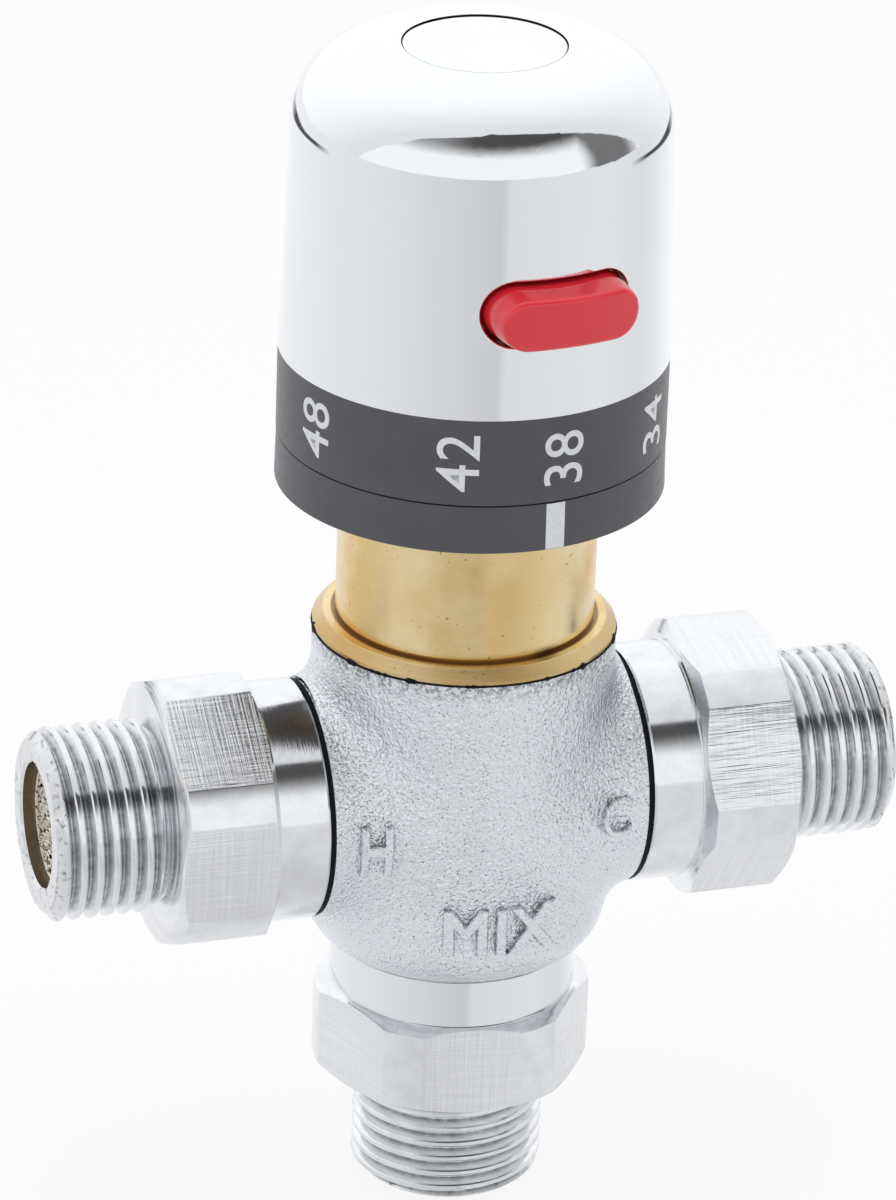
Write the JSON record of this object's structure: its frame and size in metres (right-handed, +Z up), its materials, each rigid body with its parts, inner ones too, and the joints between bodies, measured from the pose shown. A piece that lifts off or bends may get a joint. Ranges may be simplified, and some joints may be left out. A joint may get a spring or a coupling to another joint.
{
  "type": "thermostatic mixing valve",
  "caption": "Tee-shaped valve that blends hot and cold water to a set temperature, with threaded ports, a chrome dial knob and a red safety button.",
  "frame": {"origin": "centre of the outlet's mouth, on the knob axis", "axes": "+Z up along the knob axis, +X along the inlets towards the cold port, -Y towards the side with the index mark and the button"},
  "size_m": [0.0948, 0.0449, 0.1321],
  "materials": {
    "cast_chrome": "satin chrome plate over a grained casting, turned bright at the outlet band",
    "turned_chrome": "bright chrome plate over turned and milled brass, fine milling marks on the flats",
    "mirror_chrome": "mirror chrome plate on moulded plastic",
    "bare_brass": "turned brass, bare",
    "black_plastic": "dark moulded plastic with pale printed numbers",
    "red_plastic": "red moulded plastic, glossy",
    "black_rubber": "black nitrile rubber",
    "white_plastic": "pale moulded plastic",
    "steel": "stainless steel"
  },
  "bodies": {
    "housing": {"valve_body": "cast_chrome", "bonnet": "bare_brass", "bonnet_seal": "black_rubber", "index_ring": "black_plastic", "hot_nipple": "turned_chrome", "cold_nipple": "turned_chrome", "outlet_nipple": "turned_chrome", "outlet_seal": "black_rubber", "hot_seal": "black_rubber", "cold_seal": "black_rubber", "hot_check_cage": "white_plastic", "cold_check_cage": "white_plastic", "hot_check_spring": "steel", "cold_check_spring": "steel", "hot_strainer": "steel", "cold_strainer": "steel", "cartridge_cage": "white_plastic", "cage_seal": "black_rubber", "cold_seat_ring": "bare_brass", "return_spring": "steel"},
    "knob": {"spindle": "bare_brass", "spindle_seal": "black_rubber", "spindle_clip": "steel", "dial_core": "black_plastic", "knob_shell": "mirror_chrome", "top_cap": "mirror_chrome", "knob_screw": "steel", "button_spring": "steel"},
    "button": {"safety_button": "red_plastic"},
    "adjuster": {"adjuster": "bare_brass", "adjuster_ring": "steel", "pusher": "bare_brass", "overload_spring": "steel", "wax_piston": "steel"},
    "shuttle": {"shuttle": "white_plastic", "shuttle_seal": "black_rubber", "wax_element": "bare_brass"},
    "hot_poppet": {"hot_check_poppet": "white_plastic"},
    "cold_poppet": {"cold_check_poppet": "white_plastic"}
  },
  "joints": [
    {"name": "knob_turn", "type": "hinge", "parent": "housing", "child": "knob", "pos_m": [0, 0, 0.1], "axis": [0, 0, 1], "range_deg": [-150, 130]},
    {"name": "button_press", "type": "slide", "parent": "knob", "child": "button", "axis": [-0.1357, 0.9907, 0], "range_m": [0, 0.0024], "stiffness_N_per_m": 400, "springref_m": -0.002, "deforming": ["button_spring"]},
    {"name": "adjuster_travel", "type": "slide", "parent": "housing", "child": "adjuster", "axis": [0, 0, 1], "range_m": [-0.00085, 0.00075]},
    {"name": "thermal_stroke", "type": "slide", "parent": "adjuster", "child": "shuttle", "axis": [0, 0, 1], "range_m": [-0.0005, 0.0005], "stiffness_N_per_m": 2000, "deforming": ["return_spring"]},
    {"name": "hot_check_open", "type": "slide", "parent": "housing", "child": "hot_poppet", "axis": [1, 0, 0], "range_m": [0, 0.0024], "stiffness_N_per_m": 120, "springref_m": -0.002, "deforming": ["hot_check_spring"]},
    {"name": "cold_check_open", "type": "slide", "parent": "housing", "child": "cold_poppet", "axis": [-1, 0, 0], "range_m": [0, 0.0024], "stiffness_N_per_m": 120, "springref_m": -0.002, "deforming": ["cold_check_spring"]}
  ],
  "couplings": [
    {"joint": "adjuster_travel", "follows": "knob_turn", "m_per_rad": 0.00031831}
  ]
}
